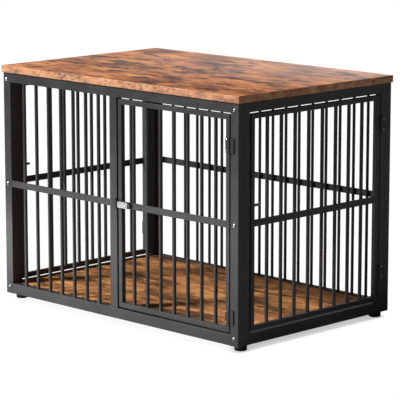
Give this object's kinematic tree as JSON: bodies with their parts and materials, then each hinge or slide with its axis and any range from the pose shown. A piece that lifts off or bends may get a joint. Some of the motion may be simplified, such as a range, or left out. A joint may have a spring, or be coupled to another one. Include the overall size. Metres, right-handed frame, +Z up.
{
  "type": "dog crate",
  "caption": "Furniture-style dog crate: a barred steel frame with hinged doors on the front and both sides, a wooden top that doubles as a table, and a raised wooden floor.",
  "frame": {"origin": "middle of the bounding box's bottom face, on the floor", "axes": "+X right along the front, +Y from the front to the back, +Z up"},
  "size_m": [1.106, 0.7212, 0.796],
  "materials": {
    "black_steel": "satin",
    "hinge_black": "satin",
    "bolt_steel": "polished",
    "screw_steel": "satin",
    "latch_silver": "satin",
    "rod_steel": "satin",
    "grip_plastic": "matte",
    "foot_plastic": "matte",
    "top_board": "matte",
    "floor_wood": "matte"
  },
  "bodies": {
    "frame": {"back_bars": "black_steel", "back_bottom_rail": "black_steel", "back_left_post": "black_steel", "back_mid_rail": "black_steel", "back_right_post": "black_steel", "back_top_rail": "black_steel", "corner_bolts": "bolt_steel", "corner_weld_nuts": "screw_steel", "feet": "foot_plastic", "floor_bearers": "black_steel", "floor_board": "floor_wood", "front_bars": "black_steel", "front_bottom_rail": "black_steel", "front_centre_post": "black_steel", "front_left_post": "black_steel", "front_mid_rail": "black_steel", "front_right_post": "black_steel", "front_top_rail": "black_steel", "hinge_frame_leaves": "hinge_black", "hinge_pins": "hinge_black", "latch_keeper": "hinge_black", "left_bottom_rail": "black_steel", "left_front_post": "black_steel", "left_rear_post": "black_steel", "left_top_rail": "black_steel", "right_bottom_rail": "black_steel", "right_front_post": "black_steel", "right_rear_post": "black_steel", "right_top_rail": "black_steel", "side_hinge_screws": "bolt_steel", "tabletop": "top_board", "tabletop_screws": "screw_steel"},
    "front_door": {"front_door_bars": "black_steel", "front_door_bottom_rail": "black_steel", "front_door_hinge_leaves": "hinge_black", "front_door_hinge_stile": "black_steel", "front_door_latch_stile": "black_steel", "front_door_mid_rail": "black_steel", "front_door_top_rail": "black_steel", "front_hinge_screws": "bolt_steel", "latch_guide": "hinge_black"},
    "left_door": {"left_door_bars": "black_steel", "left_door_bottom_rail": "black_steel", "left_door_hinge_leaves": "hinge_black", "left_door_hinge_stile": "black_steel", "left_door_latch_stile": "black_steel", "left_door_mid_rail": "black_steel", "left_door_top_rail": "black_steel"},
    "right_door": {"right_door_bars": "black_steel", "right_door_bottom_rail": "black_steel", "right_door_hinge_leaves": "hinge_black", "right_door_hinge_stile": "black_steel", "right_door_latch_stile": "black_steel", "right_door_mid_rail": "black_steel", "right_door_top_rail": "black_steel"},
    "front_latch": {"latch_grip": "grip_plastic", "latch_slider": "latch_silver", "latch_tongue": "hinge_black"},
    "left_bolt": {"left_bolt_rod": "rod_steel"},
    "right_bolt": {"right_bolt_rod": "rod_steel"}
  },
  "joints": [
    {"name": "front_door_hinge", "type": "hinge", "parent": "frame", "child": "front_door", "pos_m": [0.51, -0.3551, 0.37525], "axis": [0, 0, 1], "range_deg": [0, 165]},
    {"name": "left_door_hinge", "type": "hinge", "parent": "frame", "child": "left_door", "pos_m": [-0.5495, 0.3044, 0.3985], "axis": [0, 0, -1], "range_deg": [0, 175]},
    {"name": "right_door_hinge", "type": "hinge", "parent": "frame", "child": "right_door", "pos_m": [0.5495, 0.3044, 0.3985], "axis": [0, 0, 1], "range_deg": [0, 175]},
    {"name": "front_latch_slide", "type": "slide", "parent": "front_door", "child": "front_latch", "axis": [-1, 0, 0], "range_m": [0, 0.007]},
    {"name": "left_bolt_slide", "type": "slide", "parent": "left_door", "child": "left_bolt", "axis": [0, -1, 0], "range_m": [0, 0.0095]},
    {"name": "right_bolt_slide", "type": "slide", "parent": "right_door", "child": "right_bolt", "axis": [0, -1, 0], "range_m": [0, 0.0095]}
  ]
}
